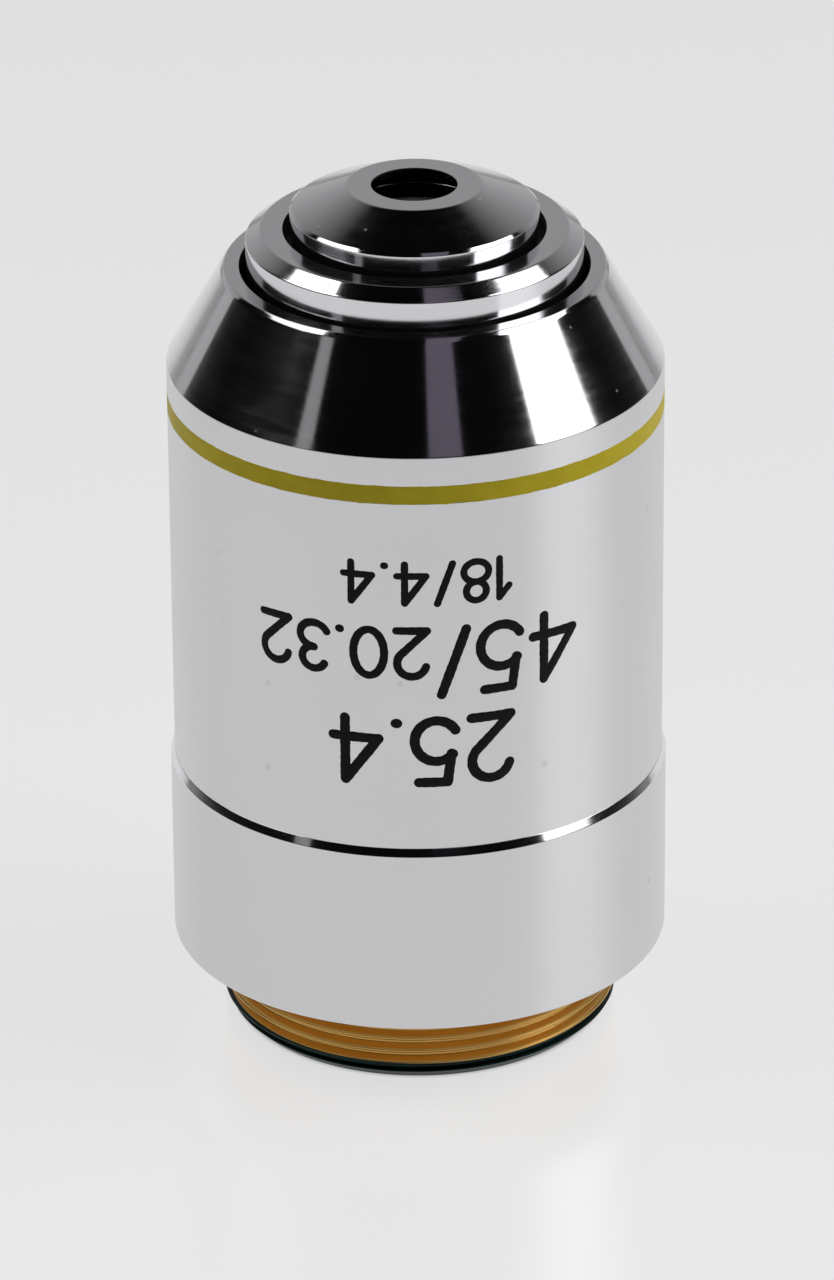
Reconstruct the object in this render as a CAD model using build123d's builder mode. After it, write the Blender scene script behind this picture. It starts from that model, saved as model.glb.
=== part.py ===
from build123d import *
from math import copysign, sqrt
import os

os.makedirs("parts", exist_ok=True)

# Microscope objective, 10x with a numerical aperture of 0.25, flat field, for parallel light.
# Millimetres. +Z is the optical axis, towards the specimen. The origin is on the axis, in the
# plane of the thread's end face, on which the objective stands when it is put down.

# Interface to the microscope: thread, shoulder and the distance from shoulder to specimen
thread_radius = 10.16
thread_length = 4.4
thread_lead_in = 0.65
parfocal_distance = 45.0
working_distance = 4.4

# Lens faces from the specimen to the rear. A radius is positive where the centre of
# curvature lies behind the face. Clear is how far the polished face reaches from the axis,
# and from there a flat land runs out to the lens's edge.
front_lens_vertex_depth = 0.65
front_lens_face_1 = -24.0
front_lens_face_2 = -9.2
front_lens_thickness = 2.9
front_lens_clear = 2.9

front_spacer_thickness = 0.18

second_lens_face_1 = -4.9
second_lens_face_2 = -7.7
second_lens_thickness = 3.1
second_lens_clear_1 = 3.2
second_lens_clear_2 = 3.9

front_group_ring_height = 0.95
front_group_ring_step = 0.3

first_ledge = 1.8
first_doublet_face_1 = -14.2
first_doublet_face_2 = -8.4
first_doublet_face_3 = -12.8
first_crown_thickness = 4.9
first_flint_thickness = 1.7
first_doublet_clear_1 = 4.4
first_doublet_clear_3 = 5.6

first_spacer_thickness = 2.72

second_ledge = 0.8
second_doublet_face_1 = 150.0
second_doublet_face_2 = -12.9
second_doublet_face_3 = -22.0
second_crown_thickness = 3.1
second_flint_thickness = 1.3
second_doublet_clear = 5.95

second_spacer_thickness = 2.0

rear_ledge = 0.9
rear_doublet_face_1 = 18.1
rear_doublet_face_2 = 19.2
rear_doublet_face_3 = 13.4
rear_front_thickness = 1.2
rear_rear_thickness = 1.6
rear_doublet_clear_1 = 5.95
rear_doublet_clear_3 = 5.5

lens_land = 0.5

# Cells and spacers
cell_wall = 0.7
cell_rim = 0.3
spacer_wall = 0.9

# Aperture stop and the threaded ring that closes the stack
stop_thickness = 0.4
stop_radius = 4.6
stack_ring_height = 1.8
stack_ring_opening = 5.6
spanner_slot_width = 1.0
spanner_slot_depth = 0.7

# Front cell, whose nose stands out of the lens barrel
tip_opening_radius = 2.11
tip_opening_depth = 0.1
tip_ring_width = 1.27
nose_cone_height = 1.15
nose_bevel_width = 0.12
nose_bevel_height = 0.12
nose_lip_height = 0.3
nose_lip_step = 0.08
nose_wall = 1.56

# Lens barrel
barrel_wall = 1.25
barrel_below_tip = 2.15
rim_bevel_width = 0.65
rim_bevel_height = 0.55
barrel_lip_thickness = 1.25
nose_gap = 0.22
barrel_overhang = 0.4

# Body tube, which carries the thread and holds the lens barrel and both sleeves
body_wall = 2.65
body_below_cone = 8.85
neck_relief = 0.16
neck_length = 1.8
thread_wall = 2.26
adjusting_gap = 0.5

# Lock ring and its grub screws
lock_ring_step = 0.25
lock_ring_height = 3.2
lock_slot_count = 4
lock_slot_width = 1.2
lock_slot_depth = 0.7
grub_screw_count = 3
grub_screw_radius = 0.8
grub_screw_recess = 0.55
grub_socket_width = 0.7
grub_socket_depth = 0.8

# Rear sleeve, which is wider than the front one by the bevel at their seam
rear_sleeve_length = 10.15
seam_bevel_width = 0.2
seam_bevel_height = 0.4
shoulder_edge_break = 0.12

# Front sleeve with its cone and the painted band near its top
front_sleeve_wall = 1.3
sleeve_below_tip = 4.05
cone_height = 4.85
sleeve_rim_height = 0.25
sleeve_rim_width = 0.2
sleeve_ring_width = 0.72
sleeve_opening_depth = 1.2
sleeve_cone_wall = 1.3
band_height = 0.95
band_below_cone = 1.45
band_groove_depth = 0.25
band_sunk = 0.02

# Clearances
thread_fit = 0.05
cell_fit = 0.03
lens_fit = 0.02
barrel_gap = 0.33
shoulder_bore_gap = 0.1


def sag(face, height):
    """How far a spherical face drops from its vertex at a height from the axis."""
    return face - copysign(sqrt(face**2 - height**2), face)


# Radii from the axis outwards: each lens, its cell, the barrel, the body and the sleeves
front_lens_edge = front_lens_clear + lens_land
second_lens_edge = second_lens_clear_2 + lens_land
first_doublet_edge = first_doublet_clear_3 + lens_land
second_doublet_edge = second_doublet_clear + lens_land
rear_doublet_edge = rear_doublet_clear_1 + lens_land
widest_edge = max(first_doublet_edge, second_doublet_edge, rear_doublet_edge)

front_group_ring_radius = second_lens_edge + front_group_ring_step
nose_radius = front_group_ring_radius + lens_fit + nose_wall
nose_lip_radius = nose_radius + nose_lip_step
nose_cone_radius = nose_lip_radius - nose_bevel_width
tip_radius = tip_opening_radius + tip_ring_width

cell_radius = widest_edge + lens_fit + cell_wall
stack_bore = cell_radius + cell_fit
barrel_radius = stack_bore + barrel_wall
barrel_opening_radius = nose_lip_radius + nose_gap
barrel_bore = barrel_radius + thread_fit
body_radius = barrel_bore + body_wall
neck_radius = thread_radius - neck_relief
rear_bore_radius = thread_radius - thread_wall
lock_ring_radius = body_radius - lock_ring_step
grub_screw_length = lock_ring_radius - barrel_radius - grub_screw_recess

sleeve_bore = body_radius + thread_fit
front_sleeve_radius = sleeve_bore + front_sleeve_wall
rear_sleeve_radius = front_sleeve_radius + seam_bevel_width
sleeve_opening_radius = barrel_radius + barrel_gap
cone_top_radius = sleeve_opening_radius + sleeve_ring_width + sleeve_rim_width

# Heights along the axis, from the specimen's side down
shoulder_z = thread_length
tip_z = shoulder_z + parfocal_distance - working_distance
step_z = shoulder_z + neck_length
seam_z = shoulder_z + rear_sleeve_length
sleeve_top_z = tip_z - sleeve_below_tip
cone_top_z = sleeve_top_z - sleeve_rim_height
cone_z = cone_top_z - cone_height
body_top_z = cone_z - body_below_cone
barrel_top_z = tip_z - barrel_below_tip
lip_z = barrel_top_z - barrel_lip_thickness

front_lens_z = tip_z - front_lens_vertex_depth
front_lens_land_z = front_lens_z - sag(front_lens_face_1, front_lens_clear)
front_lens_rear_z = front_lens_z - front_lens_thickness
front_lens_rear_land_z = front_lens_rear_z - sag(front_lens_face_2, front_lens_clear)

second_lens_land_z = front_lens_rear_land_z - front_spacer_thickness
second_lens_z = second_lens_land_z + sag(second_lens_face_1, second_lens_clear_1)
second_lens_rear_z = second_lens_z - second_lens_thickness
second_lens_rear_land_z = second_lens_rear_z - sag(second_lens_face_2, second_lens_clear_2)
front_cell_rear_z = second_lens_rear_land_z - front_group_ring_height

first_seat_z = front_cell_rear_z - first_ledge
first_doublet_z = first_seat_z + sag(first_doublet_face_1, first_doublet_clear_1)
first_cement_z = first_doublet_z - first_crown_thickness
first_doublet_rear_z = first_cement_z - first_flint_thickness
first_rear_land_z = first_doublet_rear_z - sag(first_doublet_face_3, first_doublet_clear_3)
first_cell_rear_z = first_rear_land_z - cell_rim

second_cell_top_z = first_cell_rear_z - first_spacer_thickness
second_seat_z = second_cell_top_z - second_ledge
second_doublet_z = second_seat_z + sag(second_doublet_face_1, second_doublet_clear)
second_cement_z = second_doublet_z - second_crown_thickness
second_doublet_rear_z = second_cement_z - second_flint_thickness
second_rear_land_z = second_doublet_rear_z - sag(second_doublet_face_3, second_doublet_clear)
second_cell_rear_z = second_rear_land_z - cell_rim

rear_cell_top_z = second_cell_rear_z - second_spacer_thickness
rear_seat_z = rear_cell_top_z - rear_ledge
rear_doublet_z = rear_seat_z + sag(rear_doublet_face_1, rear_doublet_clear_1)
rear_cement_z = rear_doublet_z - rear_front_thickness
rear_doublet_rear_z = rear_cement_z - rear_rear_thickness
rear_land_z = rear_doublet_rear_z - sag(rear_doublet_face_3, rear_doublet_clear_3)
rear_cell_rear_z = rear_land_z - cell_rim

stop_rear_z = rear_cell_rear_z - stop_thickness
stack_ring_rear_z = stop_rear_z - stack_ring_height
barrel_rear_z = stack_ring_rear_z - barrel_overhang
rear_bore_top_z = barrel_rear_z - adjusting_gap


def save(piece, label):
    """Name a finished piece and write its file."""
    piece.part.label = label
    export_step(piece.part, f"parts/{label}.step")


# Outer shells

with BuildPart() as body_tube:
    with BuildSketch(Plane.XZ):
        with BuildLine():
            Polyline(
                (rear_bore_radius, 0),
                (thread_radius - thread_lead_in, 0),
                (thread_radius, thread_lead_in),
                (thread_radius, shoulder_z),
                (neck_radius, shoulder_z),
                (neck_radius, step_z),
                (body_radius, step_z),
                (body_radius, body_top_z),
                (barrel_bore, body_top_z),
                (barrel_bore, rear_bore_top_z),
                (rear_bore_radius, rear_bore_top_z),
                close=True,
            )
        make_face()
    revolve(axis=Axis.Z)
save(body_tube, "body_tube")

with BuildPart() as rear_sleeve:
    with BuildSketch(Plane.XZ):
        with BuildLine():
            Polyline(
                (thread_radius + shoulder_bore_gap, shoulder_z),
                (rear_sleeve_radius - shoulder_edge_break, shoulder_z),
                (rear_sleeve_radius, shoulder_z + shoulder_edge_break),
                (rear_sleeve_radius, seam_z - seam_bevel_height),
                (rear_sleeve_radius - seam_bevel_width, seam_z),
                (sleeve_bore, seam_z),
                (sleeve_bore, step_z),
                (thread_radius + shoulder_bore_gap, step_z),
                close=True,
            )
        make_face()
    revolve(axis=Axis.Z)
save(rear_sleeve, "rear_sleeve")

band_top_z = cone_z - band_below_cone
band_bottom_z = band_top_z - band_height
band_floor_radius = front_sleeve_radius - band_groove_depth
inner_cone_top_z = sleeve_top_z - sleeve_opening_depth
inner_cone_z = cone_z - sleeve_cone_wall / 2

with BuildPart() as front_sleeve:
    with BuildSketch(Plane.XZ):
        with BuildLine():
            Polyline(
                (sleeve_bore, seam_z),
                (front_sleeve_radius, seam_z),
                (front_sleeve_radius, band_bottom_z),
                (band_floor_radius, band_bottom_z),
                (band_floor_radius, band_top_z),
                (front_sleeve_radius, band_top_z),
                (front_sleeve_radius, cone_z),
                (cone_top_radius, cone_top_z),
                (cone_top_radius - sleeve_rim_width, sleeve_top_z),
                (sleeve_opening_radius, sleeve_top_z),
                (sleeve_opening_radius, inner_cone_top_z),
                (sleeve_bore, inner_cone_z),
                close=True,
            )
        make_face()
    revolve(axis=Axis.Z)
save(front_sleeve, "front_sleeve")

with BuildPart() as colour_band:
    with BuildSketch(Plane.XY.offset(band_bottom_z)):
        Circle(front_sleeve_radius - band_sunk)
        Circle(band_floor_radius, mode=Mode.SUBTRACT)
    extrude(amount=band_height)
save(colour_band, "colour_band")

# Lens barrel and the ring that locks it in the body

with BuildPart() as lens_barrel:
    with BuildSketch(Plane.XZ):
        with BuildLine():
            Polyline(
                (stack_bore, barrel_rear_z),
                (barrel_radius, barrel_rear_z),
                (barrel_radius, barrel_top_z - rim_bevel_height),
                (barrel_radius - rim_bevel_width, barrel_top_z),
                (barrel_opening_radius, barrel_top_z),
                (barrel_opening_radius, lip_z),
                (stack_bore, lip_z),
                close=True,
            )
        make_face()
    revolve(axis=Axis.Z)
save(lens_barrel, "lens_barrel")

lock_ring_top_z = body_top_z + lock_ring_height
grub_screw_z = body_top_z + (lock_ring_height - lock_slot_depth) / 2
grub_screw_end = barrel_radius + grub_screw_length


def screw_plane(number):
    """Plane across the outer end of one grub screw, facing outwards."""
    facing = Vector(1, 0, 0).rotate(Axis.Z, (number + 0.5) * 360 / grub_screw_count)
    return Plane(origin=facing * grub_screw_end + Vector(0, 0, grub_screw_z), z_dir=facing)


with BuildPart() as lock_ring:
    with BuildSketch(Plane.XY.offset(body_top_z)):
        Circle(lock_ring_radius)
        Circle(barrel_bore, mode=Mode.SUBTRACT)
    extrude(amount=lock_ring_height)
    with BuildSketch(Plane.XY.offset(lock_ring_top_z)):
        with PolarLocations(lock_ring_radius, lock_slot_count, start_angle=180 / lock_slot_count):
            Rectangle(2 * (lock_ring_radius - barrel_bore) + lock_slot_width, lock_slot_width)
    extrude(amount=-lock_slot_depth, mode=Mode.SUBTRACT)
    for number in range(grub_screw_count):
        with BuildSketch(screw_plane(number)):
            Circle(grub_screw_radius + lens_fit)
        extrude(amount=lock_ring_radius - barrel_radius, both=True, mode=Mode.SUBTRACT)
save(lock_ring, "lock_ring")

with BuildPart() as lock_screws:
    for number in range(grub_screw_count):
        with BuildSketch(screw_plane(number)):
            Circle(grub_screw_radius)
        extrude(amount=-grub_screw_length)
        with BuildSketch(screw_plane(number)):
            RegularPolygon(grub_socket_width / 2, 6, major_radius=False)
        extrude(amount=-grub_socket_depth, mode=Mode.SUBTRACT)
save(lock_screws, "lock_screws")

# Front cell with its nose

nose_cone_z = tip_z - nose_cone_height
nose_lip_top_z = nose_cone_z - nose_bevel_height
nose_lip_z = nose_lip_top_z - nose_lip_height

with BuildPart() as front_cell:
    with BuildSketch(Plane.XZ):
        with BuildLine():
            Polyline(
                (tip_opening_radius, tip_z),
                (tip_radius, tip_z),
                (nose_cone_radius, nose_cone_z),
                (nose_lip_radius, nose_lip_top_z),
                (nose_lip_radius, nose_lip_z),
                (nose_radius, nose_lip_z),
                (nose_radius, lip_z),
                (cell_radius, lip_z),
                (cell_radius, front_cell_rear_z),
                (front_group_ring_radius + lens_fit, front_cell_rear_z),
                (front_group_ring_radius + lens_fit, second_lens_rear_land_z),
                (second_lens_edge + lens_fit, second_lens_rear_land_z),
                (second_lens_edge + lens_fit, second_lens_land_z),
                (front_lens_edge + lens_fit, second_lens_land_z),
                (front_lens_edge + lens_fit, front_lens_land_z),
                (front_lens_clear, front_lens_land_z),
                (tip_opening_radius, tip_z - tip_opening_depth),
                close=True,
            )
        make_face()
    revolve(axis=Axis.Z)
save(front_cell, "front_cell")


# Lenses

def face_curve(face, clear, vertex_z):
    """Arc of a spherical face from the axis to its clear radius."""
    halfway = clear / 2
    return ThreePointArc(
        (0, vertex_z),
        (halfway, vertex_z - sag(face, halfway)),
        (clear, vertex_z - sag(face, clear)),
    )


def lens(label, front_z, faces, clears, thickness, edge):
    """One lens element. Faces, and clears, are given for the front and then the rear."""
    rear_z = front_z - thickness
    with BuildPart() as glass:
        with BuildSketch(Plane.XZ):
            with BuildLine():
                front_end = face_curve(faces[0], clears[0], front_z) @ 1
                rear_end = face_curve(faces[1], clears[1], rear_z) @ 1
                if clears[0] < edge:
                    Line(front_end, (edge, front_end.Y))
                if clears[1] < edge:
                    Line(rear_end, (edge, rear_end.Y))
                Line((edge, front_end.Y), (edge, rear_end.Y))
                Line((0, rear_z), (0, front_z))
            make_face()
        revolve(axis=Axis.Z)
    save(glass, label)


lens(
    "front_lens",
    front_lens_z,
    (front_lens_face_1, front_lens_face_2),
    (front_lens_clear, front_lens_clear),
    front_lens_thickness,
    front_lens_edge,
)
lens(
    "second_lens",
    second_lens_z,
    (second_lens_face_1, second_lens_face_2),
    (second_lens_clear_1, second_lens_clear_2),
    second_lens_thickness,
    second_lens_edge,
)
lens(
    "first_doublet_crown",
    first_doublet_z,
    (first_doublet_face_1, first_doublet_face_2),
    (first_doublet_clear_1, first_doublet_edge),
    first_crown_thickness,
    first_doublet_edge,
)
lens(
    "first_doublet_flint",
    first_cement_z,
    (first_doublet_face_2, first_doublet_face_3),
    (first_doublet_edge, first_doublet_clear_3),
    first_flint_thickness,
    first_doublet_edge,
)
lens(
    "second_doublet_crown",
    second_doublet_z,
    (second_doublet_face_1, second_doublet_face_2),
    (second_doublet_clear, second_doublet_edge),
    second_crown_thickness,
    second_doublet_edge,
)
lens(
    "second_doublet_flint",
    second_cement_z,
    (second_doublet_face_2, second_doublet_face_3),
    (second_doublet_edge, second_doublet_clear),
    second_flint_thickness,
    second_doublet_edge,
)
lens(
    "rear_doublet_front",
    rear_doublet_z,
    (rear_doublet_face_1, rear_doublet_face_2),
    (rear_doublet_clear_1, rear_doublet_edge),
    rear_front_thickness,
    rear_doublet_edge,
)
lens(
    "rear_doublet_rear",
    rear_cement_z,
    (rear_doublet_face_2, rear_doublet_face_3),
    (rear_doublet_edge, rear_doublet_clear_3),
    rear_rear_thickness,
    rear_doublet_edge,
)


# Cells, spacers and rings of the stack

def lens_cell(label, top_z, seat_z, rear_z, opening, lens_edge):
    """Turned ring with an inner ledge, under which the lens's front land seats."""
    bore = lens_edge + lens_fit
    with BuildPart() as cell:
        with BuildSketch(Plane.XZ):
            with BuildLine():
                Polyline(
                    (opening, top_z),
                    (cell_radius, top_z),
                    (cell_radius, rear_z),
                    (bore, rear_z),
                    (bore, seat_z),
                    (opening, seat_z),
                    close=True,
                )
            make_face()
        revolve(axis=Axis.Z)
    save(cell, label)


def plain_ring(label, rear_z, height, outer_radius, opening):
    """Flat ring between two heights."""
    with BuildPart() as ring:
        with BuildSketch(Plane.XY.offset(rear_z)):
            Circle(outer_radius)
            Circle(opening, mode=Mode.SUBTRACT)
        extrude(amount=height)
    save(ring, label)


def slotted_ring(label, rear_z, height, outer_radius, opening):
    """Threaded ring with two spanner slots across its rear face."""
    with BuildPart() as ring:
        with BuildSketch(Plane.XY.offset(rear_z)):
            Circle(outer_radius)
            Circle(opening, mode=Mode.SUBTRACT)
        extrude(amount=height)
        with BuildSketch(Plane.XY.offset(rear_z)):
            with PolarLocations(outer_radius, 2, start_angle=90):
                Rectangle(2 * (outer_radius - opening) + spanner_slot_width, spanner_slot_width)
        extrude(amount=min(spanner_slot_depth, height / 2), mode=Mode.SUBTRACT)
    save(ring, label)


lens_cell(
    "first_doublet_cell",
    front_cell_rear_z,
    first_seat_z,
    first_cell_rear_z,
    first_doublet_clear_1,
    first_doublet_edge,
)
lens_cell(
    "second_doublet_cell",
    second_cell_top_z,
    second_seat_z,
    second_cell_rear_z,
    second_doublet_clear,
    second_doublet_edge,
)
lens_cell(
    "rear_doublet_cell",
    rear_cell_top_z,
    rear_seat_z,
    rear_cell_rear_z,
    rear_doublet_clear_1,
    rear_doublet_edge,
)

spacer_opening = cell_radius - spacer_wall
plain_ring(
    "front_spacer",
    second_lens_land_z,
    front_spacer_thickness,
    front_lens_edge,
    front_lens_clear,
)
plain_ring("first_spacer", second_cell_top_z, first_spacer_thickness, cell_radius, spacer_opening)
plain_ring("second_spacer", rear_cell_top_z, second_spacer_thickness, cell_radius, spacer_opening)
plain_ring("aperture_stop", stop_rear_z, stop_thickness, cell_radius, stop_radius)

slotted_ring(
    "front_group_ring",
    front_cell_rear_z,
    front_group_ring_height,
    front_group_ring_radius,
    second_lens_clear_2,
)
slotted_ring("stack_ring", stack_ring_rear_z, stack_ring_height, cell_radius, stack_ring_opening)
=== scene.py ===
import bpy
import bmesh
import math
import numpy as np
from mathutils import Matrix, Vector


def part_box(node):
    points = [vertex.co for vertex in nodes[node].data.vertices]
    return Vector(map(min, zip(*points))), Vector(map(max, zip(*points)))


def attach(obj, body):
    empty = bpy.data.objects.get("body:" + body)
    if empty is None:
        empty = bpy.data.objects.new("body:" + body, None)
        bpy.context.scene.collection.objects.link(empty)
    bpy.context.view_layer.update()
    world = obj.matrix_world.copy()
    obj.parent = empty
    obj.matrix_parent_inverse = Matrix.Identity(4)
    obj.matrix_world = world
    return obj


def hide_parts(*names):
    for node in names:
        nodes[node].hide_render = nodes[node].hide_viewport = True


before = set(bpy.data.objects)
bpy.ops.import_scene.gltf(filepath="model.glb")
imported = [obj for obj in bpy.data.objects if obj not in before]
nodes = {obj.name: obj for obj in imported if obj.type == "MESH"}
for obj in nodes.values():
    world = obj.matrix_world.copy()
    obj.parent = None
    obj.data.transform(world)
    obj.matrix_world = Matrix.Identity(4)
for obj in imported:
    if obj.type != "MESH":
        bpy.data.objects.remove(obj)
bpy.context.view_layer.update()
print("frame loaded with", len(nodes), "nodes")

mm = 0.001  # sizes in the dictionaries are millimetres, and the scene is in metres
hair = 0.01  # millimetres, for telling faces apart


def nodeSpan(node):
    # outer radius, lowest height and highest height of a turned CAD node, in millimetres
    low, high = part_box(node)
    return high.x / mm, low.z / mm, high.z / mm


# Materials

def newMaterial(name, colour, metallic, roughness, **sockets):
    material = bpy.data.materials.new(name)
    material.use_nodes = True
    shader = material.node_tree.nodes["Principled BSDF"]
    shader.inputs["Base Color"].default_value = (*colour, 1)
    shader.inputs["Metallic"].default_value = metallic
    shader.inputs["Roughness"].default_value = roughness
    for socket, value in sockets.items():
        shader.inputs[socket.replace("_", " ")].default_value = value
    return material, shader


def addNode(material, kind, inputs=None, **settings):
    # one node of a material or of the world, with its settings
    # inputs: sockets to link, or values to set
    node = material.node_tree.nodes.new(kind)
    for key, value in settings.items():
        setattr(node, key, value)
    for key, value in (inputs or {}).items():
        if isinstance(value, bpy.types.NodeSocket):
            material.node_tree.links.new(value, node.inputs[key])
        else:
            node.inputs[key].default_value = value
    return node


def link(material, socket, target):
    material.node_tree.links.new(socket, target)


def patternAt(material, scale):
    # object coordinates multiplied by scale, per metre on each axis
    place = addNode(material, "ShaderNodeTexCoord").outputs["Object"]
    return addNode(material, "ShaderNodeMapping", {"Vector": place, "Scale": scale}).outputs[0]


def multiply(material, first, second):
    return addNode(material, "ShaderNodeMath", {0: first, 1: second}, operation="MULTIPLY").outputs[0]


noiseSpan = (0.3, 0.7)  # the values that a noise mostly takes


def noiseAt(material, scale, detail=2.0, roughness=0.5):
    return addNode(
        material, "ShaderNodeTexNoise",
        {"Vector": patternAt(material, scale), "Scale": 1.0, "Detail": detail, "Roughness": roughness},
    ).outputs["Fac"]


def remap(material, value, fromLow, fromHigh, toLow, toHigh):
    return addNode(
        material, "ShaderNodeMapRange",
        {"Value": value, "From Min": fromLow, "From Max": fromHigh, "To Min": toLow, "To Max": toHigh},
    ).outputs["Result"]


def blendColours(material, factor, first, second):
    mix = addNode(material, "ShaderNodeMix", {"Factor": factor}, data_type="RGBA")
    for socket, value in ((mix.inputs[6], first), (mix.inputs[7], second)):
        if isinstance(value, bpy.types.NodeSocket):
            link(material, value, socket)
        else:
            socket.default_value = (*value, 1)
    return mix.outputs[2]


def spots(material, density, size, share=0.38):
    # 1 inside small round spots with soft edges, in that share of a voronoi grid's cells, and 0 between them
    cells = addNode(
        material, "ShaderNodeTexVoronoi",
        {"Vector": patternAt(material, (density, density, density)), "Scale": 1.0},
    )
    near = remap(material, cells.outputs["Distance"], size * 0.6, size, 1, 0)
    chosen = addNode(material, "ShaderNodeSeparateColor", {"Color": cells.outputs["Color"]}).outputs[0]
    rare = addNode(material, "ShaderNodeMath", {0: chosen, 1: 1 - share}, operation="GREATER_THAN").outputs[0]
    return multiply(material, near, rare)


def addBump(material, shader, height, distance, strength):
    bump = addNode(material, "ShaderNodeBump", {"Height": height, "Distance": distance, "Strength": strength})
    link(material, bump.outputs[0], shader.inputs["Normal"])


# In the dictionaries of looks, noises and spots are counted per metre, and heights of relief are metres.

satin = {
    "colour": (0.735, 0.735, 0.745),
    "shade": (0.685, 0.685, 0.70),
    "roughness": (0.27, 0.34),
    "cloud": (160, 160, 110),
    "stain": (0.38, 0.38, 0.40),
    "stainShare": 0.25,
    "stains": 420,
    "stainSize": 0.10,  # share of the spacing
    "grain": 9000,
    "grainHeight": 0.000004,
}


def satinChrome(look):
    material, shader = newMaterial("satinChrome", look["colour"], 1.0, look["roughness"][1])
    cloud = noiseAt(material, look["cloud"], 3)
    stain = spots(material, look["stains"], look["stainSize"])
    colour = blendColours(material, cloud, look["shade"], look["colour"])
    colour = blendColours(material, remap(material, stain, 0, 1, 0, look["stainShare"]), colour, look["stain"])
    link(material, colour, shader.inputs["Base Color"])
    link(material, remap(material, cloud, *noiseSpan, *look["roughness"]), shader.inputs["Roughness"])
    grain = noiseAt(material, (look["grain"],) * 3)
    addBump(material, shader, grain, look["grainHeight"], 0.5)
    return material


polish = {
    "colour": (0.72, 0.72, 0.745),
    "roughness": (0.08, 0.12),
    "stretch": 0.75,
    "lines": (220, 220, 4200),  # the turning lines, close together in height
    "lineHeight": 0.0000035,
    "haze": (500, 500, 900),
    "hazeSpan": (0.45, 0.8),
    "hazeRoughness": 0.03,
    "dust": (0.9, 0.9, 0.92),
    "dustShare": 0.5,
    "dustMetallic": 0.6,
    "specks": 900,
    "speckSize": 0.09,  # share of the spacing
}


def polishedChrome(look):
    # the highlight is drawn out across the turning lines, which run round the axis
    material, shader = newMaterial("polishedChrome", look["colour"], 1.0, look["roughness"][1],
                                   Anisotropic=look["stretch"], Anisotropic_Rotation=0.25)
    tangent = addNode(material, "ShaderNodeTangent", direction_type="UV_MAP", uv_map="turns")
    link(material, tangent.outputs[0], shader.inputs["Tangent"])
    lines = noiseAt(material, look["lines"], 3, 0.6)
    haze = remap(material, noiseAt(material, look["haze"], 3), *look["hazeSpan"], 0, look["hazeRoughness"])
    roughness = remap(material, lines, *noiseSpan, *look["roughness"])
    roughness = addNode(material, "ShaderNodeMath", {0: roughness, 1: haze}, operation="ADD").outputs[0]
    link(material, roughness, shader.inputs["Roughness"])
    dust = spots(material, look["specks"], look["speckSize"])
    share = remap(material, dust, 0, 1, 0, look["dustShare"])
    link(material, blendColours(material, share, look["colour"], look["dust"]), shader.inputs["Base Color"])
    link(material, remap(material, dust, 0, 1, 1, look["dustMetallic"]), shader.inputs["Metallic"])
    addBump(material, shader, lines, look["lineHeight"], 0.6)
    return material


brass = {
    "colour": (0.65, 0.39, 0.112),
    "worn": (0.54, 0.31, 0.08),
    "roughness": (0.26, 0.38),
    "cloud": (260, 260, 420),
    "lines": (120, 120, 6000),
    "lineHeight": 0.000003,
}


def brassMetal(look):
    material, shader = newMaterial("brass", look["colour"], 1.0, look["roughness"][0])
    cloud = noiseAt(material, look["cloud"], 4)
    link(material, blendColours(material, cloud, look["worn"], look["colour"]), shader.inputs["Base Color"])
    lines = noiseAt(material, look["lines"])
    link(material, remap(material, lines, *noiseSpan, *look["roughness"]), shader.inputs["Roughness"])
    addBump(material, shader, lines, look["lineHeight"], 0.5)
    return material


# painted shade: dark teal colours for the foot of the thread, standing in for the shaded floor it reflects
footShade = {"first": (0.008, 0.018, 0.017), "second": (0.020, 0.042, 0.040), "roughness": 0.4,
           "cloud": (500, 500, 700)}
paint = {"first": (0.66, 0.53, 0.022), "second": (0.86, 0.70, 0.042), "roughness": 0.45, "IOR": 1.22,
         "cloud": (700, 700, 900), "relief": 0.00002}
anodised = {"colour": (0.012, 0.012, 0.013), "roughness": (0.45, 0.65), "grain": 3000, "relief": 0.00001}
ink = {"first": (0.007, 0.006, 0.007), "second": (0.018, 0.016, 0.018), "roughness": (0.4, 0.6), "IOR": 1.2,
       "grain": 4000}
glass = {"IOR": 1.58, "filmIOR": 1.38, "smear": 300, "smearSpan": (0.4, 0.8), "roughness": (0.005, 0.03)}


def paintedShadeRim(look):
    # painted shade: the edge at the foot of the thread, coloured dark teal for the shaded floor that it
    # reflects
    material, shader = newMaterial("paintedShadeRim", look["first"], 1.0, look["roughness"])
    cloud = noiseAt(material, look["cloud"], 3)
    link(material, blendColours(material, cloud, look["first"], look["second"]), shader.inputs["Base Color"])
    return material


def paintedBand(look):
    material, shader = newMaterial("mustardPaint", look["first"], 0.0, look["roughness"], IOR=look["IOR"])
    cloud = noiseAt(material, look["cloud"], 3)
    link(material, blendColours(material, cloud, look["first"], look["second"]), shader.inputs["Base Color"])
    addBump(material, shader, cloud, look["relief"], 0.4)
    return material


def blackFinish(look):
    # matt black inside the bores and on the cells
    material, shader = newMaterial("blackAnodised", look["colour"], 0.0, look["roughness"][0])
    grain = noiseAt(material, (look["grain"],) * 3)
    link(material, remap(material, grain, *noiseSpan, *look["roughness"]), shader.inputs["Roughness"])
    addBump(material, shader, grain, look["relief"], 0.4)
    return material


def inkFill(look):
    material, shader = newMaterial("blackInk", look["first"], 0.0, look["roughness"][1], IOR=look["IOR"])
    grain = noiseAt(material, (look["grain"],) * 3, 3)
    link(material, blendColours(material, grain, look["first"], look["second"]), shader.inputs["Base Color"])
    link(material, remap(material, grain, *noiseSpan, *look["roughness"]), shader.inputs["Roughness"])
    return material


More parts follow.
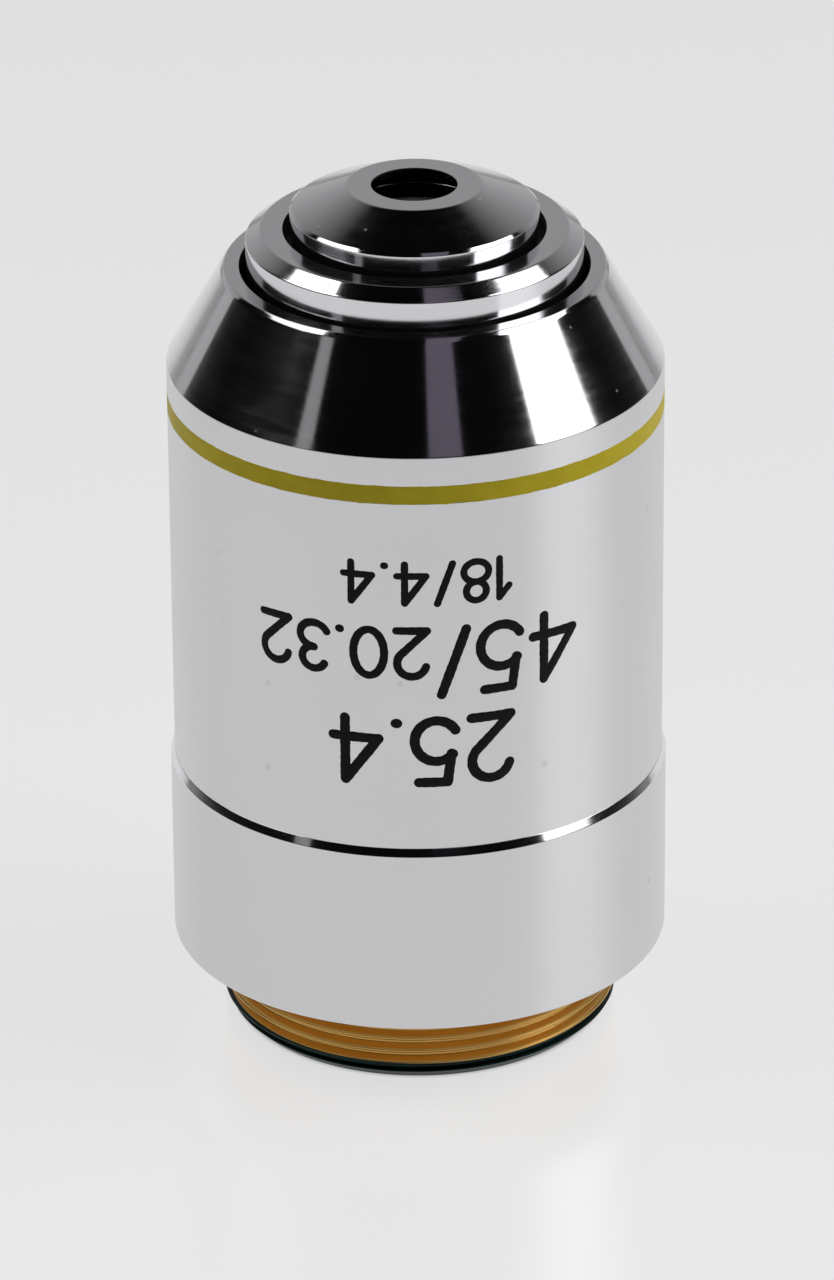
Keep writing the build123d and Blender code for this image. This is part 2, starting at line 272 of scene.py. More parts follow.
def coatedGlass(name, tint, filmNanometres, look):
    # glass whose faces carry a thin coating, which colours what they reflect
    material, shader = newMaterial(
        name, tint, 0.0, look["roughness"][0], Transmission_Weight=1.0, IOR=look["IOR"],
        Thin_Film_Thickness=filmNanometres, Thin_Film_IOR=look["filmIOR"],
    )
    smear = noiseAt(material, (look["smear"],) * 3)
    link(material, remap(material, smear, *look["smearSpan"], *look["roughness"]), shader.inputs["Roughness"])
    return material


finishes = {
    "satin": satinChrome(satin),
    "polish": polishedChrome(polish),
    "brass": brassMetal(brass),
    "rim": paintedShadeRim(footShade),
    "band": paintedBand(paint),
    "black": blackFinish(anodised),
    "ink": inkFill(ink),
    # painted shade: the front glass is tinted dark, so that it reads as the shaded inside behind it
    "frontGlass": coatedGlass("frontGlass", (0.30, 0.25, 0.29), 130, glass),
    "lensGlass": coatedGlass("lensGlass", (0.97, 0.98, 0.97), 110, glass),
    "rearGlass": coatedGlass("rearGlass", (0.97, 0.98, 0.99), 120, glass),
}
print("materials made:", len(finishes))


# Surfaces

def roundedLoop(corners, steps=5, margin=0.04):
    # Closed profile from rows of radius, height and reach. Each corner becomes a quadratic curve between two
    # points at its reach from the corner, with one more point a margin outside either end, so flats stay flat.
    table = np.array(corners, float)
    corner, reach = table[:, :2], table[:, 2:3]
    back = np.roll(corner, 1, 0) - corner
    ahead = np.roll(corner, -1, 0) - corner
    backLength = np.linalg.norm(back, axis=1, keepdims=True)
    aheadLength = np.linalg.norm(ahead, axis=1, keepdims=True)
    back, ahead = back / backLength, ahead / aheadLength
    longest = 0.46  # share of a side that its end may take, so that the ends don't meet
    hold = np.minimum(np.minimum(backLength, aheadLength) * longest, reach + margin)
    s = np.linspace(0, 1, steps)[None, :, None]
    start, end = (corner + back * reach)[:, None], (corner + ahead * reach)[:, None]
    curve = (1 - s) ** 2 * start + 2 * s * (1 - s) * corner[:, None] + s ** 2 * end
    before, after = (corner + back * hold)[:, None], (corner + ahead * hold)[:, None]
    return np.concatenate([before, curve, after], 1).reshape(-1, 2)


def turned(profile, columns):
    # The profile's radius and height carried round the axis: x is radius times sine, y is minus radius times
    # cosine, and z is height. The first column faces the front.
    angle = np.linspace(0, 2 * math.pi, columns, endpoint=False)
    radius, height = profile[:, :1], profile[:, 1:]
    return np.stack([radius * np.sin(angle), -radius * np.cos(angle), height + 0 * angle], -1)


def surfaceMesh(name, grids, closedRows=True):
    # Each grid's point (i, j) is joined to its three neighbours ahead. Columns always close round, and rows
    # close where closedRows is true. A grid whose volume comes out negative is turned round, where volume is
    # the sum over its faces of a . (b x c + c x d).
    # The map's u runs round the columns and its v along the rows.
    allPoints, allQuads, allMaps, offset = [], [], [], 0
    for grid in grids:
        rows, columns = grid.shape[:2]
        i, j = np.meshgrid(np.arange(rows if closedRows else rows - 1), np.arange(columns), indexing="ij")
        nextI, nextJ = (i + 1) % rows, (j + 1) % columns
        here, ahead = i * columns, nextI * columns
        quads = np.stack([here + j, here + nextJ, ahead + nextJ, ahead + j], -1).reshape(-1, 4)
        mapU, mapV = np.stack([j, j + 1, j + 1, j], -1) / columns, np.stack([i, i, i + 1, i + 1], -1) / rows
        flatMap = np.stack([mapU, mapV], -1).reshape(-1, 4, 2)
        points = grid.reshape(-1, 3)
        a, b, c, d = (points[quads[:, k]] - points.mean(0) for k in range(4))
        volume = (a * (np.cross(b, c) + np.cross(c, d))).sum()
        way = 1 if volume > 0 else -1
        allQuads.append(quads[:, ::way] + offset)
        allMaps.append(flatMap[:, ::way])
        allPoints.append(points)
        offset += len(points)
    points, quads = np.concatenate(allPoints) * mm, np.concatenate(allQuads)
    mesh = bpy.data.meshes.new(name)
    mesh.vertices.add(len(points))
    mesh.vertices.foreach_set("co", points.astype(np.float32).ravel())
    mesh.loops.add(quads.size)
    mesh.loops.foreach_set("vertex_index", quads.astype(np.int32).ravel())
    mesh.polygons.add(len(quads))
    mesh.polygons.foreach_set("loop_start", np.arange(0, quads.size, 4, dtype=np.int32))
    mesh.update(calc_edges=True)
    mesh.uv_layers.new(name="turns").data.foreach_set("uv", np.concatenate(allMaps).astype(np.float32).ravel())
    mesh.validate()
    mesh.shade_smooth()
    return mesh


def closePoles(mesh):
    # the rows that shrink to a point become one vertex
    work = bmesh.new()
    work.from_mesh(mesh)
    bmesh.ops.remove_doubles(work, verts=work.verts, dist=1e-8)
    work.to_mesh(mesh)
    work.free()


def facePlaces(mesh):
    # each face centre's distance from the axis and its height, in millimetres
    centres = np.zeros(len(mesh.polygons) * 3)
    mesh.polygons.foreach_get("center", centres)
    centres = centres.reshape(-1, 3) / mm
    return np.hypot(centres[:, 0], centres[:, 1]), centres[:, 2]


def addPiece(name, mesh, materials, replaced=(), faceFinish=None):
    # one piece of the object on the root body, with its materials and its finish per face
    piece = bpy.data.objects.new(name, mesh)
    bpy.context.scene.collection.objects.link(piece)
    for material in materials:
        mesh.materials.append(material)
    if faceFinish is not None:
        mesh.polygons.foreach_set("material_index", faceFinish.astype(np.int32))
    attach(piece, "root")
    if replaced:
        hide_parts(*replaced)
    return piece


# Rear sleeve

rearSleeve = {
    "bore": 11.2,
    "opening": 10.26,
    "ledge": 1.8,
    "bevelWidth": 0.2,
    "bevelHeight": 0.4,
    "edge": 0.12,
    "polishedFrom": 11.3,
    "columns": 320,
}


def makeRearSleeve(sizes):
    radius, low, high = nodeSpan("rear_sleeve")
    bevelFoot = high - sizes["bevelHeight"]
    profile = roundedLoop([
        (sizes["opening"], low, 0.08),
        (radius, low, sizes["edge"]),
        (radius, bevelFoot, 0.03),
        (radius - sizes["bevelWidth"], high, 0.02),
        (sizes["bore"], high, 0.03),
        (sizes["bore"], low + sizes["ledge"], 0.05),
        (sizes["opening"], low + sizes["ledge"], 0.05),
    ])
    mesh = surfaceMesh("rearSleeve", [turned(profile, sizes["columns"])])
    across, height = facePlaces(mesh)
    polished = (height > bevelFoot - hair) & (across > sizes["polishedFrom"])
    return addPiece("rearSleeve", mesh, [finishes["satin"], finishes["polish"]],
                    ["rear_sleeve"], polished)


makeRearSleeve(rearSleeve)

# Front sleeve with its cone

frontSleeve = {
    "raised": 0.05,  # how far the cone stands above the CAD node's
    "coneHeight": 4.9,
    "coneTop": 9.7,
    "rimHeight": 0.2,
    "rimWidth": 0.17,
    "opening": 8.78,
    "openingDepth": 1.2,
    "brightLip": 0.05,  # how far the polish goes down into the opening
    "bore": 11.2,
    "boreDrop": 0.65,
    "blackRise": 0.5,  # how far above the cone's foot the bore is black
    "bandGroove": 0.25,
    "columns": 320,
}


def makeFrontSleeve(sizes):
    radius, low, high = nodeSpan("front_sleeve")
    high += sizes["raised"]
    _, bandLow, bandHigh = nodeSpan("colour_band")
    floor = radius - sizes["bandGroove"]
    coneFoot = high - sizes["rimHeight"] - sizes["coneHeight"]
    coneTop = high - sizes["rimHeight"]
    profile = roundedLoop([
        (sizes["bore"], low, 0.03),
        (radius, low, 0.02),
        (radius, bandLow, 0.015),
        (floor, bandLow, 0.015),
        (floor, bandHigh, 0.015),
        (radius, bandHigh, 0.015),
        (radius, coneFoot, 0.04),
        (sizes["coneTop"], coneTop, 0.05),
        (sizes["coneTop"] - sizes["rimWidth"], high, 0.05),
        (sizes["opening"], high, 0.03),
        (sizes["opening"], high - sizes["openingDepth"], 0.05),
        (sizes["bore"], coneFoot - sizes["boreDrop"], 0.1),
    ])
    mesh = surfaceMesh("frontSleeve", [turned(profile, sizes["columns"])])
    across, height = facePlaces(mesh)
    polished = (height > coneFoot) & (across > sizes["opening"] - hair)
    inOpening = (across < sizes["opening"] + hair) & (height < high - sizes["brightLip"])
    inBore = (across < sizes["bore"] + hair) & (height < coneFoot + sizes["blackRise"])
    finish = np.where(inOpening | inBore, 2, np.where(polished, 1, 0))
    return addPiece("frontSleeve", mesh,
                    [finishes["satin"], finishes["polish"], finishes["black"]], ["front_sleeve"], finish)


makeFrontSleeve(frontSleeve)

# Painted band

colourBand = {
    "thickness": 0.2,
    "backInset": 0.05,
    "over": 0.012,  # how far the paint laps onto the metal
    "proud": 0.004,
    "wander": 0.035,  # how far its edges wander
    # count round the axis, phase and size of each wave of the upper edge
    "waves": [(31, 0.4, 1.0), (47, 1.9, 0.8), (83, 2.7, 0.6), (139, 0.3, 0.5), (211, 4.1, 0.35)],
    "lowerCount": 9,  # each wave of the lower edge has this many more rounds
    "lowerPhase": 2.3,  # and its phase is this many times as large
    "columns": 720,
}


def makeColourBand(sizes):
    # The band's profile carried round, with the upper and lower edges moved by sums of sines of the angle. The
    # move grows from nothing at the middle of the height.
    radius, low, high = nodeSpan("colour_band")
    radius = round(radius, 1) + sizes["proud"]
    back, inset = radius - sizes["thickness"], sizes["backInset"]
    middle = (low + high) / 2
    profile = roundedLoop([
        (back, low + inset, 0.01),
        (radius, low - sizes["over"], 0.012),
        (radius, high + sizes["over"], 0.012),
        (back, high - inset, 0.01),
    ])
    grid = turned(profile, sizes["columns"])
    angle = np.linspace(0, 2 * math.pi, sizes["columns"], endpoint=False)
    upper = sum(size * np.sin(count * angle + phase) for count, phase, size in sizes["waves"])
    lower = sum(size * np.sin((count + sizes["lowerCount"]) * angle + phase * sizes["lowerPhase"])
                for count, phase, size in sizes["waves"])
    largest = 3  # the waves' sizes add up to about this
    share = np.clip((grid[:, :, 2] - middle) / (high - low) * 2, -1, 1)
    grid[:, :, 2] += sizes["wander"] / largest * (np.clip(share, 0, 1) * upper + np.clip(-share, 0, 1) * lower)
    mesh = surfaceMesh("colourBand", [grid])
    return addPiece("colourBand", mesh, [finishes["band"]], ["colour_band"])


makeColourBand(colourBand)

# Lens barrel

lensBarrel = {
    "raised": 0.08,  # how far the rim stands above the CAD node's
    "bevelWidth": 0.75,
    "bevelHeight": 0.53,
    "opening": 6.58,
    "lip": 1.33,
    "brightLip": 0.04,
    "bore": 7.2,
    "columns": 288,
}


def makeLensBarrel(sizes):
    radius, low, high = nodeSpan("lens_barrel")
    high += sizes["raised"]
    bevelFoot = high - sizes["bevelHeight"]
    profile = roundedLoop([
        (sizes["bore"], low, 0.05),
        (radius, low, 0.1),
        (radius, bevelFoot, 0.06),
        (radius - sizes["bevelWidth"], high, 0.05),
        (sizes["opening"], high, 0.03),
        (sizes["opening"], high - sizes["lip"], 0.03),
        (sizes["bore"], high - sizes["lip"], 0.03),
    ])
    mesh = surfaceMesh("lensBarrel", [turned(profile, sizes["columns"])])
    across, height = facePlaces(mesh)
    dark = (across < sizes["bore"] + hair) & (height < high - sizes["brightLip"])
    return addPiece("lensBarrel", mesh, [finishes["polish"], finishes["black"]],
                    ["lens_barrel"], dark)


makeLensBarrel(lensBarrel)

# Front cell with the nose

frontCell = {
    "raised": 0.2,  # how far the nose stands above the CAD node's
    "tip": 3.38,
    "tipOpening": 2.15,
    "cone": 6.07,
    "coneHeight": 1.16,
    "bevel": 0.14,
    "nose": 6.24,
    "undercut": 0.14,  # how far the nose's wall leans in towards its foot
    "flangeTop": 3.6,  # below the tip
    "tipLip": 0.1,
    "lensOpening": 2.9,
    "lensBore": 3.42,
    "lensSeat": 0.67,  # below the tip
    "groupBore": 4.72,
    "groupDepth": 3.0,
    "groupTaper": 0.2,
    "blackBelow": 0.3,  # below the cone's foot the bore is black
    "columns": 288,
}


def makeFrontCell(sizes):
    radius, low, high = nodeSpan("front_cell")
    high += sizes["raised"]
    coneFoot, flangeTop, seat = (high - sizes[key] for key in ("coneHeight", "flangeTop", "lensSeat"))
    groupTop = low + sizes["groupDepth"]
    profile = roundedLoop([
        (sizes["tipOpening"], high, 0.02),
        (sizes["tip"], high, 0.06),
        (sizes["cone"], coneFoot, 0.02),
        (sizes["nose"], coneFoot - sizes["bevel"], 0.02),
        (sizes["nose"] - sizes["undercut"], flangeTop, 0.03),
        (radius, flangeTop, 0.04),
        (radius, low, 0.04),
        (sizes["groupBore"], low, 0.04),
        (sizes["groupBore"], groupTop, 0.04),
        (sizes["lensBore"], groupTop + sizes["groupTaper"], 0.04),
        (sizes["lensBore"], seat, 0.02),
        (sizes["lensOpening"], seat, 0.02),
        (sizes["tipOpening"], high - sizes["tipLip"], 0.02),
    ])
    mesh = surfaceMesh("frontCell", [turned(profile, sizes["columns"])])
    across, height = facePlaces(mesh)
    underTip = (across < sizes["tip"] - 10 * hair) & (height < high - 2 * hair)
    inBore = (across < sizes["groupBore"] + 8 * hair) & (height < coneFoot - sizes["blackBelow"])
    return addPiece("frontCell", mesh, [finishes["polish"], finishes["black"]],
                    ["front_cell"], (across < sizes["tipOpening"] + hair) | underTip | inBore)


makeFrontCell(frontCell)

# Front lens

frontLens = {
    "faces": (-24.0, -9.2),  # radii of the front and rear faces
    "clear": 2.9,
    "edge": 3.4,
    "thickness": 2.9,
    "vertex": 0.65,  # depth of the front face's centre below the tip
    "rows": 28,
    "columns": 128,
}


def makeFrontLens(sizes):
    # Both faces are spheres: the drop at a height h is R minus the sign of R times the root of R squared less h
    # squared. The rows run from the front centre out to the edge and back to the rear centre.
    tip = nodeSpan("front_cell")[2]
    frontZ = tip - sizes["vertex"]
    h = np.linspace(0, sizes["clear"], sizes["rows"])

    def face(vertex, bend):
        return np.stack([h, vertex - (bend - np.sign(bend) * np.sqrt(bend ** 2 - h ** 2))], -1)

    front = face(frontZ, sizes["faces"][0])
    rear = face(frontZ - sizes["thickness"], sizes["faces"][1])
    rim = np.array([(sizes["edge"], front[-1, 1]), (sizes["edge"], rear[-1, 1])])
    mesh = surfaceMesh("frontLens", [turned(np.concatenate([front, rim, rear[::-1]]), sizes["columns"])], False)
    closePoles(mesh)
    return addPiece("frontLens", mesh, [finishes["frontGlass"]], ["front_lens"])


makeFrontLens(frontLens)

# Body tube with its thread

bodyTube = {
    "thread": 10.16,
    "threadLength": 4.4,
    "pitch": 0.7056,
    "depth": 0.40,
    "crest": 0.10,  # shares of half a turn that are the flat crest and the flank
    "flank": 0.72,
    "runOut": 0.25,  # height over which the turns fade at the neck
    "shadedFootHeight": 1.05,  # height of the rim at the foot that is painted dark as shade
    "leadIn": 0.65,
    "neck": 10.0,
    "neckLength": 1.8,
    "rearBore": 7.9,
    "barrelBore": 8.5,
    "boreStep": 12.895,
    "rows": 150,
    "columns": 288,
}


def makeBodyTube(sizes):
    # The outer line over the thread is the outer radius less a wave of height over pitch less angle over a full
    # turn. The wave is the mean of a straight flank and a smooth one, 3 w squared less 2 w cubed. The lead-in
    # cone cuts it where the cone is smaller.
    radius, low, high = nodeSpan("body_tube")
    columns = sizes["columns"]
    threadTop = low + sizes["threadLength"]
    angle = np.linspace(0, 2 * math.pi, columns, endpoint=False)
    height = np.linspace(low, threadTop, sizes["rows"])[:, None] + 0 * angle
    turns = (height / sizes["pitch"] - angle / (2 * math.pi)) % 1
    wave = np.clip((np.abs(turns * 2 - 1) - sizes["crest"]) / sizes["flank"], 0, 1)
    wave = (wave * wave * (3 - 2 * wave) + wave) / 2
    fade = np.clip((threadTop - height) / sizes["runOut"], 0, 1)
    across = sizes["thread"] - sizes["depth"] * wave * fade
    across = np.minimum(across, sizes["thread"] - sizes["leadIn"] + (height - low))
    outer = np.stack([across * np.sin(angle), -across * np.cos(angle), height], -1)
    neckTop = threadTop + sizes["neckLength"]
    rest = roundedLoop([
        (sizes["neck"], threadTop + 2 * hair, 0.01),
        (sizes["neck"], neckTop, 0.05),
        (radius, neckTop, 0.05),
        (radius, high, 0.1),
        (sizes["barrelBore"], high, 0.1),
        (sizes["barrelBore"], sizes["boreStep"], 0.05),
        (sizes["rearBore"], sizes["boreStep"], 0.05),
        (sizes["rearBore"], low + 0.1 * hair, 0.08),
    ])
    mesh = surfaceMesh("bodyTube", [np.concatenate([outer, turned(rest, columns)])])
    across, height = facePlaces(mesh)
    # painted shade: the faces at the foot of the thread take the dark rim finish
    finish = np.where(height < low + sizes["shadedFootHeight"], 2, 0)
    finish[across < sizes["rearBore"] + 4 * hair] = 1
    return addPiece("bodyTube", mesh, [finishes["brass"], finishes["black"], finishes["rim"]],
                    ["body_tube"], finish)


makeBodyTube(bodyTube)

# Characters: plain numbers in three rows, filled with black

markings = {
    "radius": 12.5,
    "thickness": 0.02,
    "wobble": 0.05,  # share by which the ink's edge wavers
    "wobbleWaves": (9.0, 5.3),
    "step": 0.07,  # spacing of the rows along a stroke
    "lookAhead": 0.03,  # how far to either side a stroke's direction is measured
    "capRows": 7,
    "sides": 10,
    # each row's baseline height, its middle along the arc, and its runs
    # each run's text, digit height, stroke width and gap
    "rows": [
        {"baseline": 30.2, "middle": 0.5, "runs": [("18/4.4", 2.1, 0.37, 0.56)]},
        {"baseline": 26.6, "middle": 0.05, "runs": [("45/", 3.45, 0.51, 0.72), ("20.32", 2.5, 0.43, 0.62)]},
        {"baseline": 21.65, "middle": 0.2, "runs": [("25.4", 3.4, 0.53, 0.80)]},
    ],
}


def arcPoints(x, y, rx, ry, first, last, count=40):
    # an arc of an ellipse between two angles in degrees
    t = np.radians(np.linspace(first, last, count))
    return np.stack([x + rx * np.cos(t), y + ry * np.sin(t)], -1)


def glyphStrokes(sign):
    # The strokes of a character one unit high, and its width. Each stroke is a row of points.
    lines = {
        "1": (0.26, [[(0.26, 0), (0.26, 1)], [(0.26, 1), (0.02, 0.72)]]),
        "4": (0.68, [[(0.50, 0), (0.50, 1)], [(0.50, 1), (0, 0.30)], [(0, 0.30), (0.68, 0.30)]]),
        "/": (0.36, [[(0, 0), (0.36, 1.02)]]),
        ".": (0.06, [[(0.02, 0.04), (0.04, 0.04)]]),
    }
    curves = {
        "0": (0.62, [arcPoints(0.31, 0.5, 0.31, 0.5, 0, 360, 72)]),
        "8": (0.60, [
            arcPoints(0.30, 0.76, 0.24, 0.24, -90, 270, 60),
            arcPoints(0.30, 0.26, 0.30, 0.26, 90, 450, 60),
        ]),
        "2": (0.60, [
            np.concatenate([arcPoints(0.30, 0.71, 0.29, 0.29, 165, -38), [(0.0, 0.0)]]),
            [(0, 0), (0.60, 0)],
        ]),
        "3": (0.58, [
            arcPoints(0.28, 0.765, 0.25, 0.235, 155, -90),
            arcPoints(0.27, 0.265, 0.30, 0.265, 90, -155),
        ]),
        "5": (0.60, [
            [(0.54, 1), (0.12, 1)],
            [(0.12, 1), (0.06, 0.54)],
            arcPoints(0.28, 0.33, 0.32, 0.33, 138, -150),
        ]),
    }
    width, strokes = {**lines, **curves}[sign]
    return width, [np.array(stroke, float) for stroke in strokes]


def strokeGrid(path, width, sizes, place):
    # A stroke is its path carried on past both ends by half its width, with a flat lens for a section. Its half
    # width is the root of the half width squared less the distance past the end squared, so the ends are round.
    along = np.concatenate([[0], np.cumsum(np.linalg.norm(np.diff(path, axis=0), axis=1))])
    length, half = along[-1], width / 2

    def pointsAt(distance):
        return np.stack([np.interp(distance, along, path[:, k]) for k in (0, 1)], -1)

    count = max(int(length / sizes["step"]), 4)
    cap = half * np.sin(np.linspace(-math.pi / 2, 0, sizes["capRows"]))[:-1]
    s = np.concatenate([cap, np.linspace(0, length, count), length - cap[::-1]])
    inner = np.clip(s, 0, length)
    ahead, behind = (pointsAt(np.clip(inner + way * sizes["lookAhead"], 0, length)) for way in (1, -1))
    tangent = (ahead - behind) / np.linalg.norm(ahead - behind, axis=1, keepdims=True)
    past = s - inner
    centre = pointsAt(inner) + tangent * past[:, None]
    reach = np.sqrt(np.clip(half ** 2 - past ** 2, 0, None))
    first, second = sizes["wobbleWaves"]
    waver = np.sin(s * first + path[0, 0] * 7) * np.sin(s * second + path[0, 1])
    reach = reach * (1 + sizes["wobble"] * waver)
    side = np.stack([-tangent[:, 1], tangent[:, 0]], -1)
    turn = np.linspace(0, 2 * math.pi, sizes["sides"], endpoint=False)
    flat = centre[:, None] + side[:, None] * (reach[:, None] * np.cos(turn))[:, :, None]
    out = sizes["radius"] + sizes["thickness"] * np.sqrt(reach / half)[:, None] * np.sin(turn)
    angle = (place["middle"] + place["right"] - flat[:, :, 0]) / sizes["radius"]
    height = place["baseline"] - flat[:, :, 1]
    return np.stack([out * np.sin(angle), -out * np.cos(angle), height], -1)


def makeMarkings(sizes):
    # the runs of each row laid end to end from x = 0, then centred on the row's middle
    grids = []
    for row in sizes["rows"]:
        laid, x = [], 0.0
        for text, high, width, gap in row["runs"]:
            for sign in text:
                advance, strokes = glyphStrokes(sign)
                laid += [(stroke * high + (x, 0), width) for stroke in strokes]
                x += advance * high + gap
        place = {"baseline": row["baseline"], "middle": row["middle"], "right": (x - gap) / 2}
        grids += [strokeGrid(path, width, sizes, place) for path, width in laid]
    mesh = surfaceMesh("markings", grids, False)
    closePoles(mesh)
    return addPiece("markings", mesh, [finishes["ink"]])


makeMarkings(markings)
print("new pieces made")

# The nodes that keep their CAD shape

nodeFinish = {
    "lensGlass": ["second_lens", "first_doublet_crown", "first_doublet_flint", "second_doublet_crown",
                  "second_doublet_flint"],
    "rearGlass": ["rear_doublet_front", "rear_doublet_rear"],
    "black": ["front_spacer", "front_group_ring", "first_doublet_cell", "first_spacer", "second_doublet_cell",
              "second_spacer", "rear_doublet_cell", "aperture_stop", "stack_ring"],
    "brass": ["lock_ring"],
    "polish": ["lock_screws"],
}
for finish, names in nodeFinish.items():
    for name in names:
        nodes[name].data.materials.clear()
        nodes[name].data.materials.append(finishes[finish])
print("CAD nodes finished")

# Studio

studio = {
    "floorColour": 0.93,
    "floorTint": (0.995, 0.99),  # share of blue left in the warm clouds of the seen floor and of the lit one
    "floorCloud": (6, 6, 6),  # per metre
    "floorGlow": 0.69,  # what camera and reflections see of the floor without any shadow
    "floorRoughness": 0.2,
    "floorSize": 8.0,
    "floorBackShade": (-0.03, 0.14, 1.0, 0.88),  # painted shade: from and to this far back, the floor's colour times these shares, darker towards the back
    "floorContactShadow": (0.0090, 0.0098, 0.0, 1.0),  # painted shadow: the same from the axis outwards, dark under the object and just round its foot
    "floorFarShade": (0.15, 0.55, 0.0, 0.8),  # painted shade in reflections: what reflections lose of the floor far from the object
    "skyRamp": [(0.0, 0.75), (0.5, 0.30), (0.53, 0.10), (0.56, 0.015), (0.62, 0.003), (1.0, 0.002)],
    # light cards: corners in metres, foot and top brightness, and tint
    "cards": {
        "rightLight": ([(1.4, -0.87, 0.35), (1.4, -0.22, 0.35), (1.4, 0.35, 0.83), (1.4, 1.05, 1.61),
                        (1.4, 0.42, 2.63), (1.4, -0.20, 2.55), (1.4, -0.84, 1.68)], 1.9, 3.8, (1, 1, 1)),
        "leftLight": ([(-1.4, -0.70, 1.40), (-1.4, -0.42, 0.95), (-1.4, 0.20, 0.88), (-1.4, 0.77, 1.33),
                       (-1.4, 1.01, 1.82), (-1.4, 0.42, 2.94), (-1.4, -0.35, 2.31)], 1.3, 4.2, (1, 1, 1)),
        "leftStrip": ([(-1.1, -0.90, 0.45), (-1.1, -0.68, 0.45), (-1.1, -0.68, 0.95), (-1.1, -0.90, 0.95)],
                      0.30, 0.30, (1, 1, 1)),
        "ceilingStrip": ([(0.07, -0.03, 1.4), (0.40, -0.03, 1.4), (0.84, -2.24, 1.4), (0.23, -2.24, 1.4)],
                         0.15, 0.15, (0.85, 0.75, 0.95)),
        "backPanel": ([(-1.9, 1.4, 0.02), (1.9, 1.4, 0.02), (1.9, 1.4, 2.3), (-1.9, 1.4, 2.3)],
                      0.47, 0.0, (1, 1, 1)),
    },
}


def flatShape(name, corners, material):
    # one flat face of the studio, from its corners in metres
    mesh = bpy.data.meshes.new(name)
    mesh.from_pydata(corners, [], [tuple(range(len(corners)))])
    mesh.materials.append(material)
    shape = bpy.data.objects.new(name, mesh)
    bpy.context.scene.collection.objects.link(shape)
    return shape


def makeFloor(sizes):
    # Camera and glossy rays see a part of the floor's colour as glow, without shadow, and the rest lit.
    material, shader = newMaterial("whiteFloor", (0.8, 0.8, 0.8), 0.0, sizes["floorRoughness"], IOR=1.45)
    rays = addNode(material, "ShaderNodeLightPath").outputs
    seen = rays["Is Camera Ray"]
    for kind in ("Is Glossy Ray", "Is Transmission Ray"):
        seen = addNode(material, "ShaderNodeMath", {0: seen, 1: rays[kind]}, operation="MAXIMUM").outputs[0]
    cloud = noiseAt(material, sizes["floorCloud"])
    full, lit = sizes["floorColour"], sizes["floorColour"] - sizes["floorGlow"]
    plain, shaded = (
        blendColours(material, cloud, (level, level, level * tint), (level, level, level))
        for level, tint in zip((full, lit), sizes["floorTint"])
    )
    place = patternAt(material, (1, 1, 1))
    # painted shade: the floor's colour and glow darken towards the back
    back = addNode(material, "ShaderNodeSeparateXYZ", {"Vector": place}).outputs[1]
    reach = addNode(material, "ShaderNodeVectorMath", {0: place}, operation="LENGTH").outputs["Value"]
    # painted shade in reflections: glossy rays see the floor darker far from the object
    farReflectionShade = multiply(material, rays["Is Glossy Ray"], remap(material, reach, *sizes["floorFarShade"]))
    near = addNode(material, "ShaderNodeMath", {0: 1.0, 1: farReflectionShade}, operation="SUBTRACT").outputs[0]
    # painted shadow: the floor's colour and glow are dark under the object and just round its foot
    contactShadow = remap(material, reach, *sizes["floorContactShadow"])
    # painted shade: the product of these darkenings scales the floor's colour and glow
    shadeShare = multiply(material, multiply(material, remap(material, back, *sizes["floorBackShade"]), contactShadow), near)
    colours = {"Base Color": blendColours(material, seen, plain, shaded), "Emission Color": (1, 1, 1)}
    for socket, colour in colours.items():
        tone = addNode(material, "ShaderNodeVectorMath", {0: colour, 1: shadeShare}, operation="MULTIPLY").outputs[0]
        link(material, tone, shader.inputs[socket])
    link(material, multiply(material, seen, sizes["floorGlow"]), shader.inputs["Emission Strength"])
    half = sizes["floorSize"] / 2
    corners = [(-half, -half, 0), (half, -half, 0), (half, half, 0), (-half, half, 0)]
    floor = flatShape("floor", corners, material)


def makeCard(name, corners, foot, top, tint):
    # a flat glowing card, with brightness that runs evenly from its lowest corner to its highest
    material = bpy.data.materials.new(name)
    material.use_nodes = True
    material.node_tree.nodes.clear()
    height = addNode(material, "ShaderNodeSeparateXYZ", {"Vector": patternAt(material, (1, 1, 1))}).outputs[2]
    low, high = min(corner[2] for corner in corners), max(corner[2] for corner in corners)
    strength = remap(material, height, low, high + mm, foot, top)
    glow = addNode(material, "ShaderNodeEmission", {"Color": (*tint, 1), "Strength": strength})
    addNode(material, "ShaderNodeOutputMaterial", {"Surface": glow.outputs[0]})
    card = flatShape(name, corners, material)


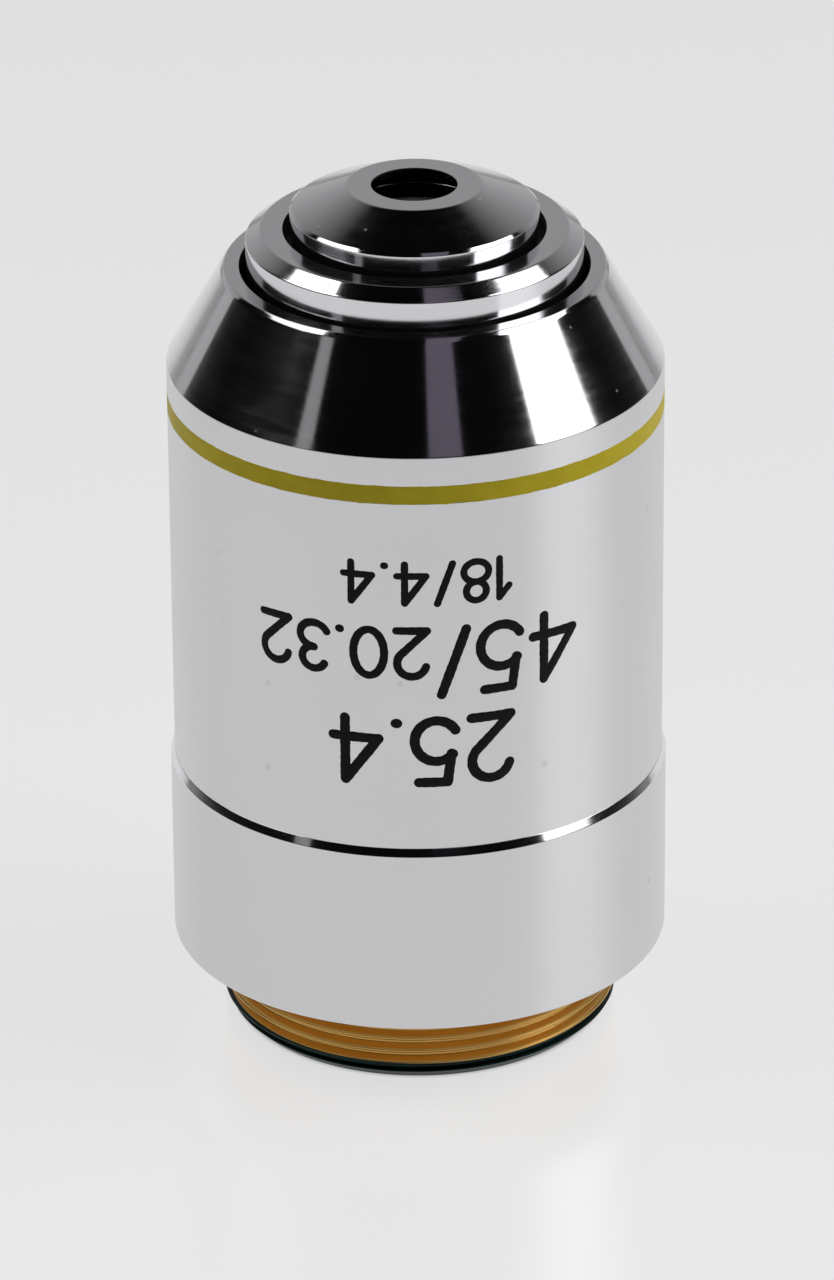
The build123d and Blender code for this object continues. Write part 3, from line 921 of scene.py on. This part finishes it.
def makeWorld(sizes):
    # grey levels over the height of the direction, from straight down to straight up
    world = bpy.data.worlds.new("studioWorld")
    bpy.context.scene.world = world
    world.use_nodes = True
    place = addNode(world, "ShaderNodeTexCoord").outputs["Generated"]
    height = addNode(world, "ShaderNodeSeparateXYZ", {0: place}).outputs[2]
    ramp = addNode(world, "ShaderNodeValToRGB", {0: remap(world, height, -1, 1, 0, 1)})
    link(world, ramp.outputs[0], world.node_tree.nodes["Background"].inputs["Color"])
    stops = ramp.color_ramp.elements
    while len(stops) < len(sizes["skyRamp"]):
        stops.new(0.5)
    for stop, (position, level) in zip(stops, sizes["skyRamp"]):
        stop.position = position
        stop.color = (level, level, level, 1)


makeFloor(studio)
for cardName, card in studio["cards"].items():
    makeCard(cardName, *card)
makeWorld(studio)

# Camera

cameraFit = {
    "distance": 0.393,
    "elevation": 25.7,
    "roll": 0.435,
    "lookHeight": 0.0201,
    "focalPixels": 7700,
    "imageHeight": 1280,
    "shiftPixels": -0.62,
    "sensorWidth": 36,
    "nearest": 0.01,
    "farthest": 20,
}


def makeCamera(sizes):
    # The roll turns the camera about its own line of sight, before it is tipped down to the elevation.
    data = bpy.data.cameras.new("camera")
    data.sensor_width = sizes["sensorWidth"]
    data.lens = sizes["focalPixels"] / sizes["imageHeight"] * data.sensor_width
    data.shift_x = sizes["shiftPixels"] / sizes["imageHeight"]
    data.clip_start, data.clip_end = sizes["nearest"], sizes["farthest"]
    camera = bpy.data.objects.new("camera", data)
    bpy.context.scene.collection.objects.link(camera)
    e, distance = math.radians(sizes["elevation"]), sizes["distance"]
    camera.location = (0, -distance * math.cos(e), sizes["lookHeight"] + distance * math.sin(e))
    tip = Matrix.Rotation(math.pi / 2 - e, 3, "X")
    roll = Matrix.Rotation(-math.radians(sizes["roll"]), 3, "Z")
    camera.rotation_euler = (tip @ roll).to_euler()
    bpy.context.scene.camera = camera


makeCamera(cameraFit)
bpy.context.scene.view_settings.view_transform = "Standard"
print("studio and camera made")
